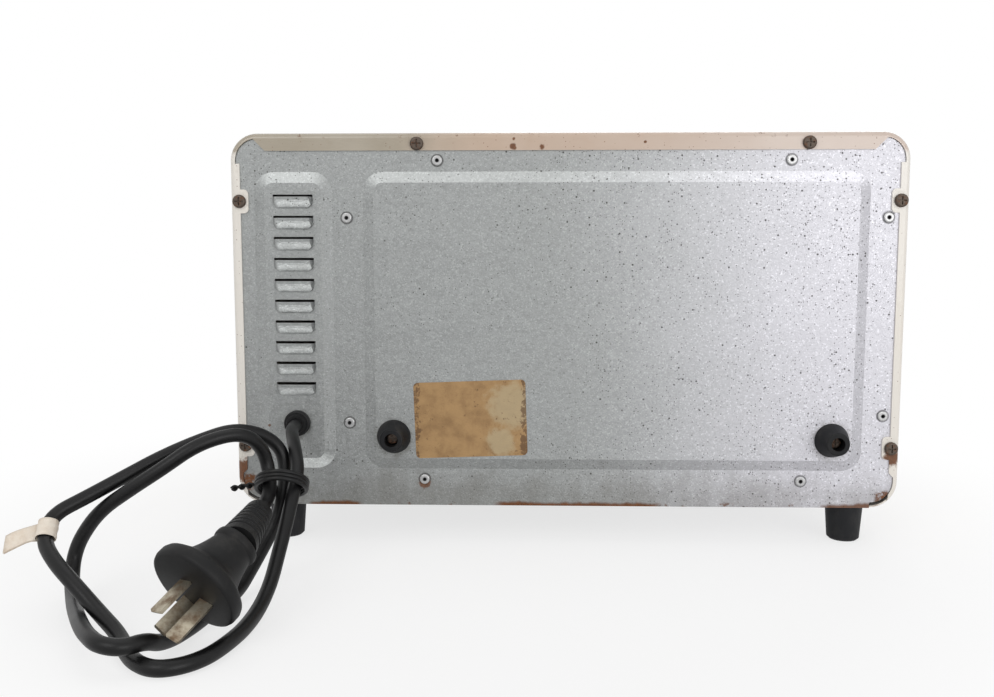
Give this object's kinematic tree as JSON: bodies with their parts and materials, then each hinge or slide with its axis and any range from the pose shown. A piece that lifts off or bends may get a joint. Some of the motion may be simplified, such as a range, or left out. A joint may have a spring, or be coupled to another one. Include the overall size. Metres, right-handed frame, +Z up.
{
  "type": "toaster oven",
  "caption": "Compact countertop toaster oven with a drop-down glass door, sliding rack and crumb tray, turning knobs, louvred rear panel and a tied mains lead.",
  "frame": {"origin": "under the middle of the oven without its lead, on the surface that it stands on", "axes": "+Z up, the door faces -Y, the control panel is at +X, the rear panel faces +Y"},
  "size_m": [0.4445, 0.4476, 0.228],
  "materials": {
    "shell_enamel": "cream baked enamel, aged and a little yellow, rust spots along the rear edges",
    "front_enamel": "cream baked enamel, semi-gloss",
    "galvanised_sheet": "spangled galvanised steel, dull, with dark specks and rust at the lower edge",
    "cavity_sheet": "aluminised steel, satin, heat-tinted",
    "tray_steel": "thin aluminised steel, satin",
    "tray_enamel": "black vitreous enamel, glossy",
    "chrome_wire": "bright chromed wire",
    "fascia_steel": "dark grey enamel, satin",
    "door_enamel": "black enamel, semi-gloss",
    "door_glass": "clear tempered glass",
    "black_moulding": "black heat-resistant moulding",
    "plain_steel": "zinc-plated steel",
    "rusty_screw": "steel, darkened and rusted",
    "rivet_aluminium": "dull aluminium",
    "quartz_tube": "milky quartz",
    "resistance_wire": "oxidised coiled resistance wire",
    "white_ceramic": "matt off-white steatite",
    "label_paper": "aged kraft-coloured paper, blank",
    "knob_plastic": "black phenolic moulding with a pale pointer line",
    "brass_shaft": "turned brass",
    "bell_steel": "nickel-plated",
    "lamp_lens": "translucent amber-red lens",
    "lamp_bulb": "neon lamp glass",
    "foot_plastic": "black moulding, scuffed",
    "spacer_rubber": "black rubber, dusty",
    "cord_sheath": "black flexible sheath, soft sheen",
    "plug_moulding": "black moulded-on plug",
    "pin_brass": "nickelled brass, tarnished",
    "tie_wire": "black coated wire",
    "tag_paper": "off-white paper, blank, creased",
    "wire_insulation": "glass-fibre sleeved wire"
  },
  "bodies": {
    "case": {"base_plate": "galvanised_sheet", "cavity_left_wall": "cavity_sheet", "cavity_right_wall": "cavity_sheet", "cavity_roof": "cavity_sheet", "control_panel": "fascia_steel", "cord_grommet": "black_moulding", "cord_tag": "tag_paper", "cord_tie": "tie_wire", "device_screws": "plain_steel", "foot_front_left": "foot_plastic", "foot_front_right": "foot_plastic", "foot_rear_left": "foot_plastic", "foot_rear_right": "foot_plastic", "foot_screws": "plain_steel", "front_frame": "front_enamel", "heater_coils": "resistance_wire", "heater_end_caps": "white_ceramic", "indicator_bulb": "lamp_bulb", "indicator_lens": "lamp_lens", "internal_wiring": "wire_insulation", "lower_front_heater": "quartz_tube", "lower_rear_heater": "quartz_tube", "outer_shell": "shell_enamel", "plug_body": "plug_moulding", "plug_pins": "pin_brass", "power_cord": "cord_sheath", "rating_label": "label_paper", "rear_panel": "galvanised_sheet", "rear_rivets": "rivet_aluminium", "selector_switch": "black_moulding", "shell_screws": "rusty_screw", "spacer_screws": "rusty_screw", "terminal_block": "white_ceramic", "thermostat": "white_ceramic", "timer_bell": "bell_steel", "timer_clockwork": "plain_steel", "upper_front_heater": "quartz_tube", "upper_rear_heater": "quartz_tube", "wall_spacer_left": "spacer_rubber", "wall_spacer_right": "spacer_rubber"},
    "door": {"door_frame": "door_enamel", "door_glass": "door_glass", "glass_clips": "plain_steel", "door_hinge_pins": "plain_steel", "door_handle": "black_moulding", "handle_screws": "plain_steel"},
    "rack": {"wire_rack": "chrome_wire", "baking_tray": "tray_enamel"},
    "crumb_tray": {"crumb_tray": "tray_steel"},
    "temperature_control": {"temperature_knob": "knob_plastic", "temperature_shaft": "brass_shaft"},
    "function_control": {"function_knob": "knob_plastic", "function_shaft": "brass_shaft"},
    "timer_control": {"timer_knob": "knob_plastic", "timer_shaft": "brass_shaft"}
  },
  "joints": [
    {"name": "door_hinge", "type": "hinge", "parent": "case", "child": "door", "pos_m": [0, -0.1056, 0.0506], "axis": [1, 0, 0], "range_deg": [0, 90]},
    {"name": "rack_slide", "type": "slide", "parent": "case", "child": "rack", "axis": [0, -1, 0], "range_m": [0, 0.07]},
    {"name": "crumb_tray_slide", "type": "slide", "parent": "case", "child": "crumb_tray", "axis": [0, -1, 0], "range_m": [0, 0.11]},
    {"name": "temperature_turn", "type": "hinge", "parent": "case", "child": "temperature_control", "pos_m": [0.15, -0.116, 0.187], "axis": [0, 1, 0], "range_deg": [0, 270]},
    {"name": "function_turn", "type": "hinge", "parent": "case", "child": "function_control", "pos_m": [0.15, -0.116, 0.131], "axis": [0, 1, 0], "range_deg": [0, 135]},
    {"name": "timer_turn", "type": "hinge", "parent": "case", "child": "timer_control", "pos_m": [0.15, -0.116, 0.075], "axis": [0, 1, 0], "range_deg": [0, 300]}
  ],
  "couplings": [
    {"joint": "rack_slide", "follows": "door_hinge", "m_per_rad": 0.0445}
  ]
}
